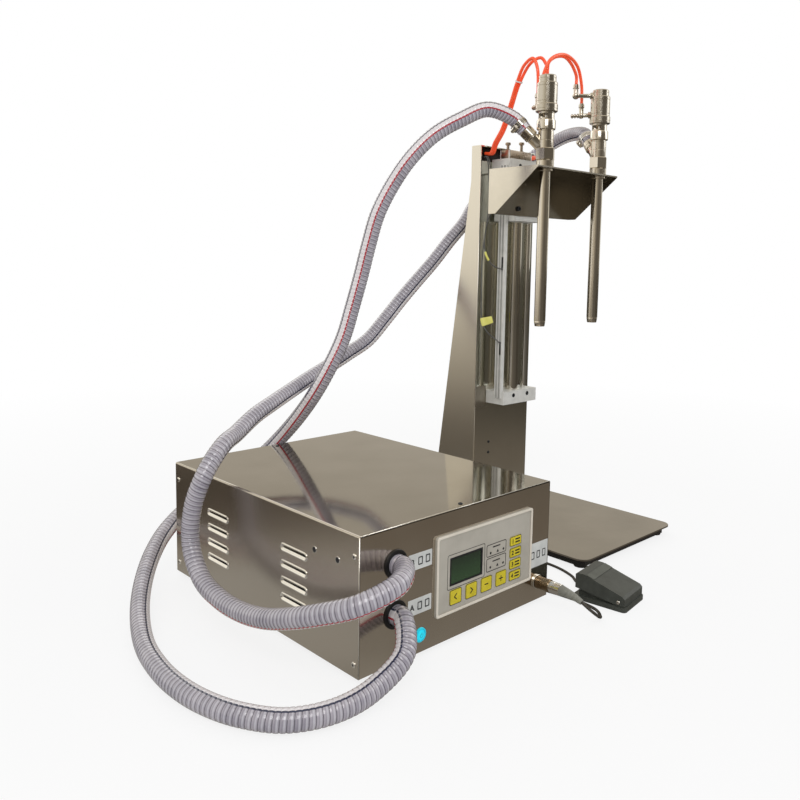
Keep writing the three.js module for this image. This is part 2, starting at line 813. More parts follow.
// Barb ridges up to a stop, as [radius, distance] pairs from the tip
function barbProfile(length) {
  const ridges = barbRidgeShares.flatMap((share) => [[barbRadius, share * length],
    [barbRootRadius, share * length + jointLap]])
  return [[barbRootRadius, 0], ...ridges, [barbRootRadius, length]]
}

const barbTipY = hoseInset - barbLength
for (const [letter, z] of [['a', outletAZ], ['b', outletBZ]]) {
  add(`outlet_grommet_${letter}`, turned(grommetProfile, [hoseWallX, 0, z], 'y', fineSides), 0x161616, 0.7,
    0)
  const head = turned([[outletBoreRadius, barbTipY],
    ...barbProfile(barbLength).map(([r, h]) => [r, barbTipY + h]),
    [hoseRadius, hoseInset + seatGap], [hoseRadius, pumpFrontY], [pumpRadius, pumpFrontY],
    [pumpRadius, pumpBackY], [shaftRadius + shaftGap, pumpBackY], [shaftRadius + shaftGap, chamberBackY],
    [chamberRadius, chamberBackY], [chamberRadius, chamberFrontY], [outletBoreRadius, chamberFrontY],
    [outletBoreRadius, barbTipY]], [hoseWallX, 0, z], 'y', fineSides)
  const pipeStartX = hoseWallX + (chamberRadius + pumpRadius) / 2
  const pipeEndY = boxDepth + inletReach
  const pipe = join(
    rod([pipeStartX, inletY, z], [inletX, inletY, z], inletPipeRadius),
    rod([inletX, inletY, z], [inletX, pipeEndY, z], inletPipeRadius),
    new THREE.SphereGeometry(inletPipeRadius + boxSheet, coarseSides, coarseSides).translate(inletX,
      inletY, z),
    rod([inletX, boxDepth, z], [inletX, boxDepth + inletNutDepth, z], inletNutRadius, 6),
    ...inletRidgeShares.map((share) => {
      const ridgeY = pipeEndY - share * (inletReach - inletNutDepth)
      return rod([inletX, ridgeY - barbRootRadius / 2, z], [inletX, ridgeY, z], barbRadius, middleSides,
        inletPipeRadius)
    }),
  )
  add(`pump_head_${letter}`, cut(join(head, pipe),
    rod([hoseWallX + chamberRadius / 2, inletY, z], [inletX, inletY, z], inletBoreRadius),
    rod([inletX, inletY, z], [inletX, pipeEndY + overrun, z], inletBoreRadius),
    new THREE.SphereGeometry(inletBoreRadius, coarseSides, coarseSides).translate(inletX, inletY, z)),
  0xb9b6ae, 0.3, 0.95)

  const motorFrontY = pumpBackY + pumpBracketSheet
  add(`pump_motor_${letter}`, turned([[0, motorFrontY + motorBoreDepth], [shaftRadius + shaftGap,
    motorFrontY + motorBoreDepth], [shaftRadius + shaftGap, motorFrontY], [motorRadius, motorFrontY],
  [motorRadius, motorEndY - motorCapDepth], [motorCapRadius, motorEndY], [0, motorEndY],
  [0, motorFrontY + motorBoreDepth]], [hoseWallX, 0, z], 'y', fineSides), 0x3a3d40, 0.5, 0.6)

  const bladeGap = (chamberBackY - chamberFrontY) / 10
  const blades = Array.from({ length: rotorBlades }, (_, i) => {
    const blade = block([0, rotorBladeReach], [chamberFrontY + bladeGap, chamberBackY - bladeGap],
      [-rotorBladeWidth / 2, rotorBladeWidth / 2])
    return blade.rotateY((2 * Math.PI * i) / rotorBlades).translate(hoseWallX, 0, z)
  })
  add(`pump_rotor_${letter}`, join(
    rod([hoseWallX, chamberFrontY + bladeGap, z], [hoseWallX, chamberBackY - bladeGap, z], rotorHubRadius),
    rod([hoseWallX, chamberFrontY + bladeGap, z], [hoseWallX, shaftEndY, z], shaftRadius, middleSides),
    ...blades), 0xd8d4c8, 0.5, 0.1)
}

const bracketLeft = hoseWallX - pumpRadius - pumpBracketMargin
const bracketRight = hoseWallX + pumpRadius + pumpBracketMargin
const boxFloor = footHeight + boxSheet
add('pump_bracket', cut(join(
  block([bracketLeft, bracketRight], [pumpBackY, pumpBackY + pumpBracketSheet],
    [boxFloor, outletBZ + pumpRadius + pumpBracketMargin]),
  block([bracketLeft, bracketRight], [pumpBackY, pumpBackY + pumpBracketFoot],
    [boxFloor, boxFloor + pumpBracketSheet]),
), ...[outletAZ, outletBZ].map((z) => rod([hoseWallX, pumpBackY - overrun, z],
  [hoseWallX, pumpBackY + pumpBracketSheet + overrun, z], pumpBracketBossRadius))), 0x9a9a98, 0.4, 0.9)

const supplyRight = boxWidth - supplySideGap
const supplyLeft = supplyRight - supplyWidth
const supplyBack = boxDepth - supplyBackGap
const supplyFront = supplyBack - supplyDepth
add('power_supply', cut(
  block([supplyLeft, supplyRight], [supplyFront, supplyBack], [boxFloor, boxFloor + supplyHeight]),
  block([supplyLeft - overrun, supplyRight + overrun],
    [supplyFront - overrun, supplyFront + supplyStripDepth],
    [boxFloor + supplyHeight / 2, boxFloor + supplyHeight + overrun]),
), 0xb0b2b2, 0.4, 0.8)

// Mains inlet on the back: a flanged cup with three pins
const mainsBack = boxDepth + mainsFlangeThickness
const mainsInner = boxDepth - mainsBodyDepth + mainsWall
const mainsPins = [[-mainsPinSpread, 0], [0, mainsPinHeight / 2],
  [mainsPinSpread, 0]].map(([dx, dz]) => block(
  [mainsX + dx - mainsPinWidth / 2, mainsX + dx + mainsPinWidth / 2],
  [mainsInner - jointLap, mainsInner + mainsPinLength],
  [mainsZ + dz - mainsPinHeight / 2, mainsZ + dz + mainsPinHeight / 2]))
add('mains_inlet', join(cut(join(
  prism(roundedRectangle([mainsX - mainsFlangeWidth / 2, mainsX + mainsFlangeWidth / 2],
    [mainsZ - mainsFlangeHeight / 2, mainsZ + mainsFlangeHeight / 2], panelCorner), 'y', boxDepth,
      mainsBack, 3),
  block([mainsX - mainsBodyWidth / 2, mainsX + mainsBodyWidth / 2], [boxDepth - mainsBodyDepth, mainsBack],
    [mainsZ - mainsBodyHeight / 2, mainsZ + mainsBodyHeight / 2]),
), block([mainsX - mainsBodyWidth / 2 + mainsWall, mainsX + mainsBodyWidth / 2 - mainsWall],
  [mainsInner, mainsBack + overrun],
  [mainsZ - mainsBodyHeight / 2 + mainsWall, mainsZ + mainsBodyHeight / 2 - mainsWall])), ...mainsPins),
0x1a1a1a, 0.6, 0)

// Pedal socket, and the plug that is screwed onto it with its drooping gland
add('pedal_socket', turned([[0, -socketBarrelReach], [socketBarrelRadius, -socketBarrelReach],
  [socketBarrelRadius, -socketFlangeDepth], [socketFlangeRadius, -socketFlangeDepth],
    [socketFlangeRadius, 0],
  [socketTailRadius, 0], [socketTailRadius, boxSheet], [socketNutRadius, boxSheet],
  [socketNutRadius, socketTailDepth], [0, socketTailDepth]], [socketX, 0, socketZ], 'y', fineSides),
0xb8b4aa, 0.3, 0.9)

const nutBore = socketBarrelRadius + seatGap
const plugBody = turned([[0, -plugRingEnd], [plugRingRadius, -plugRingEnd], [plugRingRadius, -plugNutEnd],
  [plugNutRadius, -plugNutEnd], [plugNutRadius, -socketFlangeDepth - seatGap],
  [nutBore, -socketFlangeDepth - seatGap], [nutBore, -socketBarrelReach - seatGap],
  [0, -socketBarrelReach - seatGap]], [socketX, 0, socketZ], 'y', fineSides)
const glandCurve = curveThrough([[socketX, jointLap - plugRingEnd, socketZ],
  [socketX, -(plugRingEnd * 2 + glandReach) / 3, socketZ - glandDroopShares[0] * glandDroop],
  [socketX, -(plugRingEnd + glandReach * 2) / 3, socketZ - glandDroopShares[1] * glandDroop],
  [socketX, -glandReach, socketZ - glandDroop]])
const gland = skin(ringsAlong(glandCurve, evenStations(5), (t) => THREE.MathUtils.lerp(glandBaseRadius,
  glandTipRadius, t), middleSides))
add('pedal_plug', join(plugBody, gland), 0x8f8b84, 0.35, 0.7)

// Stand base: a rounded plate on an inset frame with round pads
const baseX = [baseLeft, baseRight]
const baseY = [baseFront, baseBack]
const frameOutline = roundedRectangle([baseLeft + frameInset, baseRight - frameInset],
  [baseFront + frameInset, baseBack - frameInset], baseCorner - frameInset)
frameOutline.holes = [roundedRectangle(
  [baseLeft + frameInset + frameTubeWidth, baseRight - frameInset - frameTubeWidth],
  [baseFront + frameInset + frameTubeWidth, baseBack - frameInset - frameTubeWidth], baseSheet)]
const padInset = frameInset + frameTubeWidth / 2
const pads = [baseLeft + padInset + baseSheet, baseRight - padInset - baseSheet].flatMap((x) => (
  [baseFront + padInset + baseSheet, baseBack - padInset - baseSheet].map((y) => (
    rod([x, y, 0], [x, y, padHeight + jointLap], padRadius, middleSides)))))
add('base_plate', join(
  prism(roundedRectangle(baseX, baseY, baseCorner), 'z', baseTop - baseSheet, baseTop, 5),
  prism(frameOutline, 'z', padHeight, baseTop - baseSheet + jointLap, 3),
  ...pads), 0x4b4742, 0.45, 0.8)

// Column: a folded channel with tapered side wings, open at its back between two lips
const columnLeft = standX - columnWidth / 2
const columnRight = standX + columnWidth / 2
function columnOutline(inset) {
  const corners = [[columnFront, baseTop], [columnBackFoot, baseTop], [columnBackTop, columnStepZ],
    [columnBackTop, columnTop], [columnFront, columnTop]].map(([y, z]) => new THREE.Vector2(y, z))
  const lines = corners.map((corner, i) => {
    const along = corners[(i + 1) % corners.length].clone().sub(corner).normalize()
    return { start: corner.clone().add(new THREE.Vector2(-along.y, along.x).multiplyScalar(inset)), along }
  })
  return lines.map((line, i) => {
    const before = lines[(i + lines.length - 1) % lines.length]
    const offset = line.start.clone().sub(before.start)
    const reach = offset.cross(line.along) / before.along.cross(line.along)
    return before.start.clone().addScaledVector(before.along, reach).toArray()
  })
}
add('column', cut(
  prism(polygon(columnOutline(0)), 'x', columnLeft, columnRight),
  prism(polygon(columnOutline(columnSheet)), 'x', columnLeft + columnSheet, columnRight - columnSheet),
  block([columnLeft + columnLip, columnRight - columnLip],
    [columnFront + columnSheet, columnBackFoot + overrun],
    [baseTop - overrun, columnTop - columnLip]),
  block([columnLeft + columnSheet, columnRight - columnSheet],
    [columnFront - overrun, columnFront + columnLip / 2],
    [columnTop - columnSheet - columnNotchHeight, columnTop - columnSheet]),
), 0xb5ab9a, 0.35, 0.85)

// Slide heads: rods and tube seat in blind holes, and the sensor rail seats in a side notch
const railLeft = headLeft + railNotchDepth - seatGap - railDepth
const railRight = headLeft + railNotchDepth - seatGap
const rodXs = [standX - rodOffset, standX + rodOffset]
const railSpan = [bottomHeadZ + headHeight - railSeatDepth + seatGap, topHeadZ + railSeatDepth - seatGap]
function slideHead(bottom, seatSide) {
  const top = bottom + headHeight
  const inner = seatSide > 0 ? top : bottom
  const into = (depth) => (seatSide > 0 ? [inner - depth, inner + overrun] : [inner - overrun,
    inner + depth])
  const hole = (x, radius, depth) => {
    const [z0, z1] = into(depth)
    return rod([x, rodY, z0], [x, rodY, z1], radius + seatGap, fineSides)
  }
  const frontHoleZ = seatSide > 0 ? top - headHeight / 3 : bottom + headHeight / 2
  const frontHoles = [-1, 1].map((side) => rod([standX + side * headHoleOffset, headFront - overrun,
    frontHoleZ],
    [standX + side * headHoleOffset, headFront + headHoleDepth, frontHoleZ], headHoleRadius, middleSides))
  return cut(
    prism(roundedRectangle([headLeft, headRight], [headFront, columnFront], headCorner), 'z', bottom, top,
      3),
    ...rodXs.map((x) => hole(x, rodRadius, rodSeatDepth)),
    hole(standX, tubeRadius, tubeSeatDepth),
    block([headLeft - overrun, headLeft + railNotchDepth],
      [railFront - seatGap, railFront + railWidth + seatGap],
      into(railSeatDepth)),
    ...frontHoles,
  )
}
add('slide_head_bottom', slideHead(bottomHeadZ, 1), 0xd9d7d0, 0.3, 0.9)
const headTopZ = topHeadZ + headHeight
const portBlockTop = headTopZ + portBlockHeight
const portBlockLeft = standX - portBlockOffset
const portBlockY = [columnFront - portBlockStandoff, columnFront - portBlockStandoff + portBlockDepth]
const portBlock = join(
  block([portBlockLeft, portBlockLeft + portBlockWidth], portBlockY, [headTopZ - jointLap, portBlockTop]),
  ...portStudShares.flatMap((share, i) => {
    const x = portBlockLeft + share * portBlockWidth
    const y = (portBlockY[0] + portBlockY[1]) / 2
    const knobZ = portBlockTop + portStudHeights[i]
    return [rod([x, y, portBlockTop - jointLap], [x, y, knobZ], portStudRadius, coarseSides),
      rod([x, y, knobZ - portKnobHeight], [x, y, knobZ], portKnobRadius, middleSides, portStudRadius)]
  }))
add('slide_head_top', join(slideHead(topHeadZ, -1), portBlock), 0xcfcdc6, 0.3, 0.9)

const rodSpan = [bottomHeadZ + headHeight - rodSeatDepth + seatGap, topHeadZ + rodSeatDepth - seatGap]
add('guide_rod_left', rod([rodXs[0], rodY, rodSpan[0]], [rodXs[0], rodY, rodSpan[1]], rodRadius), 0xe2e2e0,
  0.12, 1)
add('guide_rod_right', rod([rodXs[1], rodY, rodSpan[0]], [rodXs[1], rodY, rodSpan[1]], rodRadius),
  0xe2e2e0, 0.12, 1)
const tubeSpan = [bottomHeadZ + headHeight - tubeSeatDepth + seatGap, topHeadZ + tubeSeatDepth - seatGap]
const tubeInner = tubeRadius - tubeWall
add('cylinder_tube', turned([[tubeInner, tubeSpan[0]], [tubeRadius, tubeSpan[0]], [tubeRadius, tubeSpan[1]],
  [tubeInner, tubeSpan[1]], [tubeInner, tubeSpan[0]]], [standX, rodY, 0]), 0xc4c4c0, 0.2, 1)

// Sensor rail: a bar with two grooves on its left face, and the two leads that hook into them
const railBack = railFront + railWidth
const groovePitch = (railWidth - 2 * railGrooveWidth) / 3
const railPoints = [[railRight, railFront], [railRight, railBack], [railLeft, railBack]]
for (const groove of [1, 0]) {
  const y0 = railFront + groovePitch + groove * (railGrooveWidth + groovePitch)
  railPoints.push([railLeft, y0 + railGrooveWidth], [railLeft + railGrooveDepth, y0 + railGrooveWidth],
    [railLeft + railGrooveDepth, y0], [railLeft, y0])
}
railPoints.push([railLeft, railFront])
const leadStart = (x) => [[x, columnFront - seatGap, airExitZ - airExitPitch],
  [x, columnFront - columnLip / 2,
  airExitZ - airExitPitch]]
add('sensor_rail', join(
  prism(polygon(railPoints), 'z', railSpan[0], railSpan[1]),
  tubeAlong([...leadStart(airExitX - airExitPitch / 2), ...leadRoute1, [railLeft + railGrooveDepth,
    railFront + groovePitch + railGrooveWidth / 2, leadRoute1.at(-1)[2] + railDepth]], leadRadius,
      leadSides, leadStep),
  tubeAlong([...leadStart(airExitX - airExitPitch), ...leadRoute2, [railLeft + railGrooveDepth,
    railFront + groovePitch + railGrooveWidth / 2, leadRoute2.at(-1)[2] - railDepth]], leadRadius,
      leadSides, leadStep),
), 0xcfcfc9, 0.35, 0.9)

// Air valve in the column's head, with two push-in outlets for the air tubes
const valveLeft = columnLeft + columnSheet + seatGap
const valveFront = columnFront + columnSheet
const airExits = [airExitX, airExitX + airExitPitch]
add('air_valve_block', join(
  block([valveLeft, valveLeft + valveBlockWidth], [valveFront, valveFront + valveBlockDepth],
    [valveBlockBottom, valveBlockTop]),
  ...airExits.flatMap((x) => [
    rod([x, valveFront + valveBlockDepth / 2, valveBlockTop - jointLap],
      [x, valveFront + valveBlockDepth / 2, airExitZ], airTubeRadius),
    rod([x, columnFront + airExitDepth, airExitZ],
      [x, valveFront + airTubeDepthShare * valveBlockDepth, airExitZ],
      airTubeRadius + seatGap),
  ]),
), 0x2b2b2d, 0.55, 0.2)

// Carriage: a block that runs on the rods and the tube, and the magnet piston that drives it
const blockTop = shelfTop
const blockBottom = blockTop - blockHeight
const blockX = [standX - blockWidth / 2, standX + blockWidth / 2]
add('slide_block', cut(
  prism(roundedRectangle(blockX, [blockFront, blockBack], headCorner), 'z', blockBottom, blockTop, 3),
  ...rodXs.map((x) => rod([x, rodY, blockBottom - overrun], [x, rodY, blockTop + overrun],
    rodRadius + seatGap, fineSides)),
  rod([standX, rodY, blockBottom - overrun], [standX, rodY, blockTop + overrun], tubeRadius + seatGap,
    fineSides),
), 0xbdbbb4, 0.35, 0.9)
const pistonBottom = (blockTop + blockBottom - pistonLength) / 2
add('magnet_piston', rod([standX, rodY, pistonBottom], [standX, rodY, pistonBottom + pistonLength],
  tubeInner - 2 * seatGap, middleSides), 0x4a4a4c, 0.4, 0.9)

// Nozzle bracket: a shelf and a back plate with a triangular gusset at each end
const bracketX = [standX - bracketWidth / 2, standX + bracketWidth / 2]
const bracketBottom = shelfTop - bracketDrop
const gusset = polygon([[blockFront, bracketBottom], [blockFront, shelfTop], [bracketFront, shelfTop],
  [bracketFront, shelfTop - bracketSheet], [blockFront - gussetFoot, bracketBottom]])
add('nozzle_bracket', cut(join(
  block(bracketX, [bracketFront, blockFront], [shelfTop - bracketSheet, shelfTop]),
  block(bracketX, [blockFront - bracketSheet, blockFront], [bracketBottom, shelfTop]),
  prism(gusset, 'x', bracketX[0], bracketX[0] + bracketSheet),
  prism(gusset, 'x', bracketX[1] - bracketSheet, bracketX[1]),
), ...nozzleXs.map((x) => rod([x, nozzleY, shelfTop - bracketSheet - overrun],
  [x, nozzleY, shelfTop + overrun],
  nozzleTubeRadius + seatGap, fineSides))), 0xa8a094, 0.3, 0.9)

// Direction of a branch or port at an azimuth from +Y towards +X, with a slope
function direction(azimuth, slope = 0) {
  const a = THREE.MathUtils.degToRad(azimuth)
  return [Math.sin(a) * Math.cos(slope), Math.cos(a) * Math.cos(slope), Math.sin(slope)]
}
function along(start, way, distance) {
  return start.map((value, i) => value + way[i] * distance)
}

// Nozzle: a long tube through the shelf, nuts, a hexagon, a sloping branch and a yoke
function valveBody(x, branchAzimuth) {
  const washerBottom = shelfTop - bracketSheet - shelfNutHeight
  const outside = turned([[0, nozzleTipZ], [nozzleTipRadius, nozzleTipZ],
    [nozzleTubeRadius, nozzleTipZ + nozzleTaper],
    [nozzleTubeRadius, lowerNutTop], [valveNeckRadius, lowerNutTop], [valveNeckRadius, unionNutBottom],
    [unionNutRadius, unionNutBottom + seatGap], [unionNutRadius, unionNutTop],
    [valveNeckRadius, unionNutTop], [valveNeckRadius, yokeTop], [0, yokeTop]], [x, nozzleY, 0])
  const washer = turned([[0, washerBottom], [shelfNutRadius, washerBottom],
    [shelfNutRadius, shelfTop - bracketSheet], [0, shelfTop - bracketSheet]], [x, nozzleY, 0])
  const lowerNut = turned([[0, shelfTop], [lowerNutRadius, shelfTop], [lowerNutRadius, lowerNutTop],
    [0, lowerNutTop]], [x, nozzleY, 0])
  const hexRadius = hexAcross / 2 / Math.cos(Math.PI / 6)
  const hexagon = rod([x, nozzleY, lowerNutTop - jointLap], [x, nozzleY, hexTop], hexRadius, 6)
  const axis = [x, nozzleY, branchZ]
  const way = direction(branchAzimuth, branchSlope)
  const barb = barbProfile(branchBarbLength).map(([r, h]) => [r, branchBarbLength - h])
    .reverse()
  const barbSolid = turned([[0, -jointLap], [barbRootRadius, -jointLap], ...barb, [0, branchBarbLength]],
    [0, 0, 0], 'z', middleSides)
  barbSolid.applyQuaternion(new THREE.Quaternion().setFromUnitVectors(new THREE.Vector3(0, 0, 1),
    new THREE.Vector3(...way))).translate(...along(axis, way, hoseStart - seatGap))
  const branch = join(
    rod(axis, along(axis, way, branchCollarStart + jointLap), branchRadius, middleSides),
    rod(along(axis, way, branchCollarStart), along(axis, way, hoseStart - seatGap), branchCollarRadius,
      middleSides),
    barbSolid)
  const windowGeometry = block([x - overrun - valveNeckRadius, x + overrun + valveNeckRadius],
    [nozzleY - yokeWindowWidth / 2, nozzleY + yokeWindowWidth / 2],
    [unionNutTop + yokeWindowInset, yokeTop - yokeWindowInset])
  return cut(join(outside, washer, lowerNut, hexagon, branch),
    turned([[0, nozzleTipZ - overrun], [tipHoleRadius, nozzleTipZ - overrun],
      [tipHoleRadius, nozzleTipZ + tipLipHeight],
        [nozzleBoreRadius, nozzleTipZ + tipLipHeight + tipConeHeight],
      [nozzleBoreRadius, unionNutBottom], [0, unionNutBottom]], [x, nozzleY, 0]),
    rod([x, nozzleY, unionNutBottom - overrun], [x, nozzleY, yokeTop + overrun], stemRadius + stemGap,
      middleSides),
    rod(along(axis, way, nozzleBoreRadius / 2), along(axis, way, hoseStart + branchBarbLength + overrun),
      outletBoreRadius, cordSides),
    windowGeometry)
}

// Push-in fitting: a stub from the actuator, with one tube leg or two on its upper side
function airPort(x, azimuth, z, start, reaches, legTop, legRadius) {
  const axis = [x, nozzleY, z]
  const way = direction(azimuth)
  const end = reaches.at(-1)
  const parts = [rod(along(axis, way, start), along(axis, way, end), portRadius, coarseSides),
    rod(along(axis, way, start), along(axis, way, start + portRadius), collarRadius, 6)]
  for (const reach of reaches) {
    const foot = along(axis, way, reach)
    parts.push(
      rod([foot[0], foot[1], z - legRadius], [foot[0], foot[1], legTop], legRadius * legNeckShare,
        coarseSides),
      rod([foot[0], foot[1], legTop - legCollarHeight], [foot[0], foot[1], legTop], legRadius, coarseSides))
  }
  return join(...parts)
}

function silencer(x, azimuth, start) {
  const way = direction(azimuth)
  const axis = [x, nozzleY, lowerPortZ]
  const step = silencerReach / (silencerRidges + 1)
  const parts = [rod(along(axis, way, start), along(axis, way, start + silencerReach), silencerWaist,
    coarseSides)]
  for (let i = 1; i <= silencerRidges; i += 1) {
    parts.push(rod(along(axis, way, start + i * step),
      along(axis, way, start + (i + silencerRidgeShare) * step), silencerRadius, coarseSides))
  }
  return join(...parts)
}

// Actuator: band, barrel and cap round an air chamber, with its two ports
function valveActuator(x, i) {
  const barrel = turned([[0, yokeTop], [bandRadius, yokeTop], [bandRadius, bandTop],
    [actuatorRadius, bandTop + seatGap], [actuatorRadius, actuatorTop], [capRadius, actuatorTop + seatGap],
    [capRadius, capTop - airWall / 4], [capRadius - airWall / 4, capTop], [0, capTop]], [x, nozzleY, 0])
  const upper = airPort(x, upperAzimuths[i], upperPortZ, capRadius - portSink, upperLegReaches[i],
    upperLegTop, elbowRadius)
  const lower = airPort(x, lowerAzimuths[i], lowerPortZ, actuatorRadius - portSink, lowerLegReaches[i],
    lowerLegTop,
    collarRadius)
  const lowerEnd = lowerLegReaches[i].at(-1)
  return cut(join(barrel, upper, lower, silencer(x, lowerAzimuths[i], lowerEnd)),
    turned([[0, yokeTop + airWall], [airBoreRadius, yokeTop + airWall], [airBoreRadius, actuatorTop],
      [0, actuatorTop]], [x, nozzleY, 0]),
    rod([x, nozzleY, yokeTop - overrun], [x, nozzleY, yokeTop + airWall + overrun], stemRadius + stemGap,
      middleSides))
}

// Stem: a rod with the outlet plug at its foot and the air piston at its head
function valveStem(x) {
  const plugBottom = nozzleTipZ + tipLipHeight + tipConeHeight + seatGap
  const pistonZ = yokeTop + airWall + seatGap
  return turned([[0, plugBottom], [plugRadius, plugBottom], [plugRadius, plugBottom + plugHeight / 2],
    [stemRadius, plugBottom + plugHeight], [stemRadius, pistonZ], [airBoreRadius - seatGap, pistonZ],
    [airBoreRadius - seatGap, pistonZ + airPistonHeight], [0, pistonZ + airPistonHeight]],
  [x, nozzleY, 0])
}

nozzleXs.forEach((x, i) => {
  add(`valve_body_${i + 1}`, valveBody(x, branchAzimuths[i]), 0xa59d92, 0.28, 0.95)
  add(`valve_actuator_${i + 1}`, valveActuator(x, i), 0x8d867c, 0.3, 0.95)
  add(`valve_stem_${i + 1}`, valveStem(x), 0xc8c6c0, 0.25, 1)
})

// Hoses: wire-ribbed outside and smooth inside, the bore's rings closer where the hose bends
function ribbedHose(points) {
  const curve = curveThrough(points)
  const length = curve.getLength()
  const pitch = length / hoseRibs
  const ribStations = [0]
  for (let i = 0; i < hoseRibs; i += 1) ribStations.push(...ribEdgeShares.map((share) => (i
    + share) / hoseRibs))
  ribStations.push(1)
  const lastRib = ribStations.length - 1
  let count = 0
  const outer = ringsAlong(curve, ribStations, () => {
    const ring = Math.floor(count / (2 * hoseRingPoints))
    count += 1
    return ring === 0 || ring === lastRib || ring % 2 === 1 ? hoseRootRadius : hoseRadius
  }, hoseRingPoints)
  const boreStations = [0]
  while (boreStations.at(-1) < 1) {
    const here = boreStations.at(-1)
    const ahead = Math.min(here + pitch / length, 1)
    const turn = curve.getTangentAt(here).angleTo(curve.getTangentAt(ahead))
    const bend = pitch / Math.max(turn, leastTurn)
    const step = Math.min(Math.sqrt(8 * bend * hoseBoreSlack), hoseBoreLongestStepInRibs * pitch)
    boreStations.push(Math.min(here + step / length, 1))
  }
  const inner = ringsAlong(curve, boreStations, () => hoseBoreRadius, hoseRingPoints)
  return skin([...outer, ...inner.reverse()], true)
}

function hosePoints(nozzleX, azimuth, route, outletZ) {
  const way = direction(azimuth, branchSlope)
  const axis = [nozzleX, nozzleY, branchZ]
  return [along(axis, way, hoseStart), along(axis, way, hoseStart + hoseRadius), along(axis, way, hoseStart
    + 2 * hoseRadius), ...route, [hoseWallX, -hoseRadius, outletZ],
  [hoseWallX, -2 * grommetLip, outletZ], [hoseWallX, hoseInset / 2, outletZ],
    [hoseWallX, hoseInset, outletZ]]
}
const hosePoints1 = hosePoints(nozzleXs[0], branchAzimuths[0], hoseRoute1, outletAZ)
const hosePoints2 = hosePoints(nozzleXs[1], branchAzimuths[1], hoseRoute2, outletBZ)
add('hose_1', ribbedHose(hosePoints1), 0xc9c4bc, 0.3, 0)
add('hose_2', ribbedHose(hosePoints2), 0xc9c4bc, 0.3, 0)

// Air tubes: two from the column's head to the first actuator, tied together, and two across
function legPlace(nozzle, azimuths, reach, legTop) {
  return along([nozzleXs[nozzle], nozzleY, legTop + seatGap], direction(azimuths[nozzle]), reach)
}
const tubeStep = 6 * airTubeRadius
const upTube = 4 * airTubeRadius
const rise = ([x, y, z]) => [x, y, z + upTube]
const airExit = (x) => [[x, columnFront + airExitDepth - seatGap, airExitZ],
  [x, columnFront - upTube, airExitZ]]
const firstLower = legPlace(0, lowerAzimuths, lowerLegReaches[0][1], lowerLegTop)
const firstUpper = legPlace(0, upperAzimuths, upperLegReaches[0][1], upperLegTop)
const jumpUpper = legPlace(0, upperAzimuths, upperLegReaches[0][0], upperLegTop)
const jumpLower = legPlace(0, lowerAzimuths, lowerLegReaches[0][0], lowerLegTop)
const secondUpper = legPlace(1, upperAzimuths, upperLegReaches[1][0], upperLegTop)
const secondLower = legPlace(1, lowerAzimuths, lowerLegReaches[1][0], lowerLegTop)
const airPoints1 = [...airExit(airExits[0]), ...airRoute1, rise(firstLower), firstLower]
const airPoints2 = [...airExit(airExits[1]), ...airRoute2, rise(firstUpper), firstUpper]
const tie = airRoute1[3].map((value, i) => (value + airRoute2[3][i]) / 2)
add('air_lines', join(
  tubeAlong(airPoints1, airTubeRadius, cordSides, tubeStep),
  tubeAlong(airPoints2, airTubeRadius, cordSides, tubeStep),
  block([tie[0] - 3 * airTubeRadius, tie[0] + 3 * airTubeRadius], [tie[1] - 1.5 * airTubeRadius,
    tie[1] + 1.5 * airTubeRadius], [tie[2] - airTubeRadius / 2, tie[2] + airTubeRadius / 2]),
), 0xe8532f, 0.35, 0)
add('air_jumper_1', tubeAlong([jumpUpper, rise(jumpUpper), ...jumperRoute1, rise(secondUpper), secondUpper],
  airTubeRadius, cordSides, tubeStep), 0xe8532f, 0.35, 0)
add('air_jumper_2', tubeAlong([jumpLower, rise(jumpLower), ...jumperRoute2, rise(secondLower), secondLower],
  airTubeRadius, cordSides, tubeStep), 0xe8532f, 0.35, 0)

// Foot pedal, built in its own frame: X across, Y from the front (-) to the back (+)
const pedalPlace = new THREE.Matrix4().makeRotationZ(THREE.MathUtils.degToRad(pedalTurn))
  .setPosition(pedalX, pedalY, 0)
const halfWidth = pedalWidth / 2
const halfLength = pedalLength / 2
const pivotY = -halfLength + pivotFromFront
const coreHalf = halfWidth - pedalCoreInset
const coreY = [-halfLength + pedalCoreFrontGap, halfLength - pedalCoreInset]
const earY = [pivotY - pivotEarRadius, pivotY + pivotEarRadius]
const ears = [-1, 1].map((side) => {
  const outer = side * (halfWidth - pedalInset - pedalWall - seatGap)
  const inner = outer - side * pivotEarWidth
  const x = [Math.min(inner, outer), Math.max(inner, outer)]
  return cut(join(block(x, earY, [pedalLip - jointLap, pivotZ]),
    rod([x[0], pivotY, pivotZ], [x[1], pivotY, pivotZ], pivotEarRadius, middleSides)),
  rod([x[0] - overrun, pivotY, pivotZ], [x[1] + overrun, pivotY, pivotZ], pivotRadius + seatGap,
    2 * coarseSides))
})
const reliefY = halfLength + pedalReliefLength
add('pedal_base', join(
  prism(roundedRectangle([-halfWidth, halfWidth], [-halfLength, halfLength], pedalLipCorner), 'z', 0,
    pedalLip),
  block([-coreHalf, coreHalf], coreY, [pedalLip - jointLap, pedalCoreHeight]),
  rod([pedalCableX, halfLength - overrun, pedalCableZ], [pedalCableX, reliefY, pedalCableZ],
    pedalReliefRadius, 12),
  ...ears).applyMatrix4(pedalPlace), 0x3b3e3a, 0.7, 0)

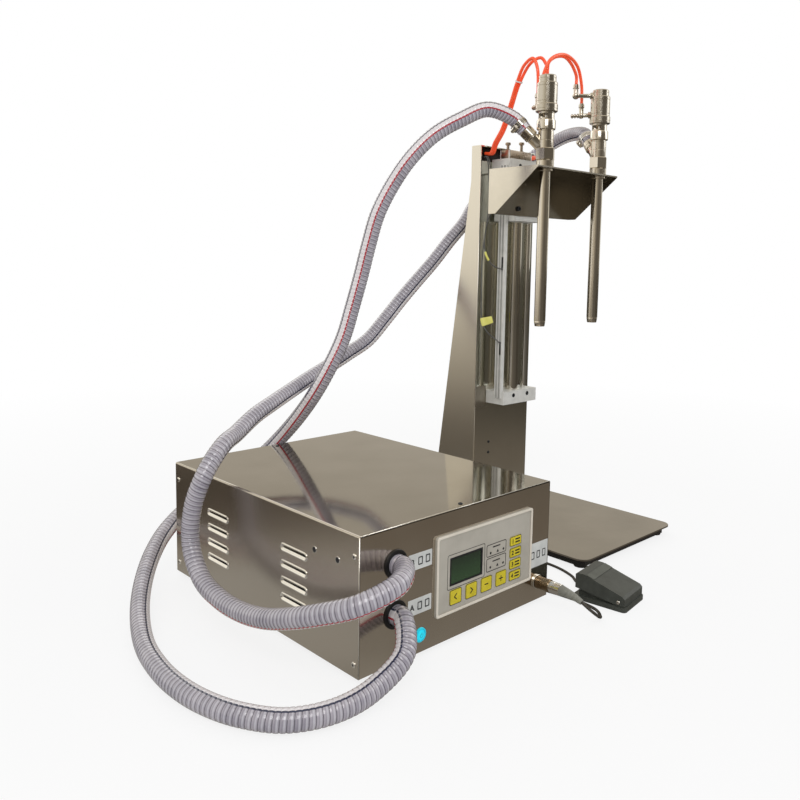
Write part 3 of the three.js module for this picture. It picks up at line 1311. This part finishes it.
// Treadle: a hollow wedge over the base, with a raised band and two pins in the base's ears
const treadleHalf = halfWidth - pedalInset
const treadleY = [-halfLength + pedalInset, halfLength - pedalInset]
const swing = THREE.MathUtils.degToRad(pedalSwing)
const hemFront = pedalLip + seatGap
const hemBack = hemFront + Math.tan(swing) * (treadleY[1] - pivotY) + 2 * seatGap
function treadleOutline(inset, bottomDrop) {
  const front = treadleY[0] + inset
  const back = treadleY[1] - inset
  return polygon([[front, hemFront - bottomDrop], [pivotY, hemFront - bottomDrop],
    [back, hemBack - bottomDrop],
    [back, pedalBackHeight - inset - pedalWall], [back - pedalTopFlat / 4, pedalBackHeight - inset],
    [back - pedalTopFlat, pedalBackHeight - inset],
    [front + pedalTopFlat / 4, pedalFrontHeight - inset + pedalTopFlat / 10],
    [front, pedalFrontHeight - inset - pedalWall]])
}
const topSlope = (pedalBackHeight - pedalFrontHeight) / (treadleY[1] - pedalTopFlat - treadleY[0])
const bandY = pedalBandShares.map((share) => THREE.MathUtils.lerp(treadleY[0], treadleY[1], share))
const bandOutline = polygon([...bandY.map((y) => [y, pedalFrontHeight + topSlope * (y - treadleY[0])
  - pedalWall / 2]), ...bandY.toReversed().map((y) => [y, pedalFrontHeight + topSlope * (y - treadleY[0])
  + pedalBandProud])])
const pins = [-1, 1].map((side) => rod([side * (treadleHalf - pedalWall / 2), pivotY, pivotZ],
  [side * (treadleHalf - pedalWall - seatGap - pivotEarWidth), pivotY, pivotZ], pivotRadius, middleSides))
add('pedal_treadle', join(cut(
  prism(treadleOutline(0, 0), 'x', -treadleHalf, treadleHalf),
  prism(treadleOutline(pedalWall, overrun), 'x', -treadleHalf + pedalWall, treadleHalf - pedalWall),
), prism(bandOutline, 'x', -treadleHalf, treadleHalf), ...pins).applyMatrix4(pedalPlace), 0x4b4f49, 0.65, 0)

// Pedal cable: out of the gland, through its coil behind the machine's front, and into the pedal
class CoilCurve extends THREE.Curve {
  getPoint(t) {
    const turns = 2 * coilTurns + 0.5
    const at = t * turns
    const onWayIn = Math.min(at, coilTurns)
    const onTurn = THREE.MathUtils.clamp((at - coilTurns) / 0.5, 0, 1)
    const onWayOut = Math.max(at - coilTurns - 0.5, 0)
    const radius = coilOuterRadius - coilPitch * (onWayIn - onWayOut)
    const angle = Math.PI - 2 * Math.PI * at
    const lift = THREE.MathUtils.smoothstep(onTurn, 0, 1)
    return new THREE.Vector3(coilX + radius * Math.cos(angle), coilY + radius * Math.sin(angle),
      cableRadius + jointLap + lift * coilPitch)
  }
}
const coilCurve = new CoilCurve()
coilCurve.arcLengthDivisions = 2000
const coilRings = Math.round((2 * coilTurns + 0.5) * coilStepsPerTurn)
add('pedal_cable_coil', skin(ringsAlong(coilCurve, evenStations(coilRings), () => cableRadius, coilSides)),
  0x2a2a2a, 0.6, 0)

// The least gap between turns of the coil, on points half a turn or more apart
const coilSamples = evenStations(coilRings * 4).map((t) => coilCurve.getPointAt(t))
let coilLeastGap = Infinity
coilSamples.forEach((p, i) => {
  for (let k = i + coilStepsPerTurn * 2; k < coilSamples.length; k += 1) {
    coilLeastGap = Math.min(coilLeastGap, p.distanceTo(coilSamples[k]) - 2 * cableRadius)
  }
})
console.log(`least gap between turns of pedal_cable_coil: ${coilLeastGap.toFixed(2)} mm`)

function clearOf(place, way, distance) {
  return place.clone().addScaledVector(way, distance).toArray()
}
const coilIn = coilCurve.getPointAt(0)
const coilInWay = coilCurve.getTangentAt(0)
const coilOut = coilCurve.getPointAt(1)
const coilOutWay = coilCurve.getTangentAt(1)
const tip = glandCurve.getPointAt(1)
const tipWay = glandCurve.getTangentAt(1)
const cableOut = [clearOf(tip, tipWay, seatGap), clearOf(tip, tipWay, 2 * cableRadius), ...cableRouteOut,
  clearOf(coilIn, coilInWay, -3 * cableRadius), clearOf(coilIn, coilInWay, -seatGap)]
const pedalEnd = (distance) => new THREE.Vector3(pedalCableX, reliefY + distance, pedalCableZ)
  .applyMatrix4(pedalPlace).toArray()
const cableBack = [clearOf(coilOut, coilOutWay, seatGap), clearOf(coilOut, coilOutWay, 3 * cableRadius),
  ...cableRouteBack, pedalEnd(4 * cableRadius), pedalEnd(seatGap)]
add('pedal_cable_out', tubeAlong(cableOut, cableRadius, cordSides, cableStep), 0x2a2a2a, 0.6, 0)
add('pedal_cable_back', tubeAlong(cableBack, cableRadius, cordSides, cableStep), 0x2a2a2a, 0.6, 0)

// The machine stands on Z = 0, centred on the box of everything but its free cords
const freeCords = ['hose_1', 'hose_2', 'air_lines', 'air_jumper_1', 'air_jumper_2', 'pedal_cable_coil',
  'pedal_cable_out', 'pedal_cable_back']
const bounds = new THREE.Box3()
for (const mesh of machine.children) {
  if (!freeCords.includes(mesh.name)) bounds.expandByObject(mesh)
}
machine.position.set(-(bounds.min.x + bounds.max.x) / 2, -(bounds.min.y + bounds.max.y) / 2, -bounds.min.z)
machine.updateMatrixWorld(true)

export default machine
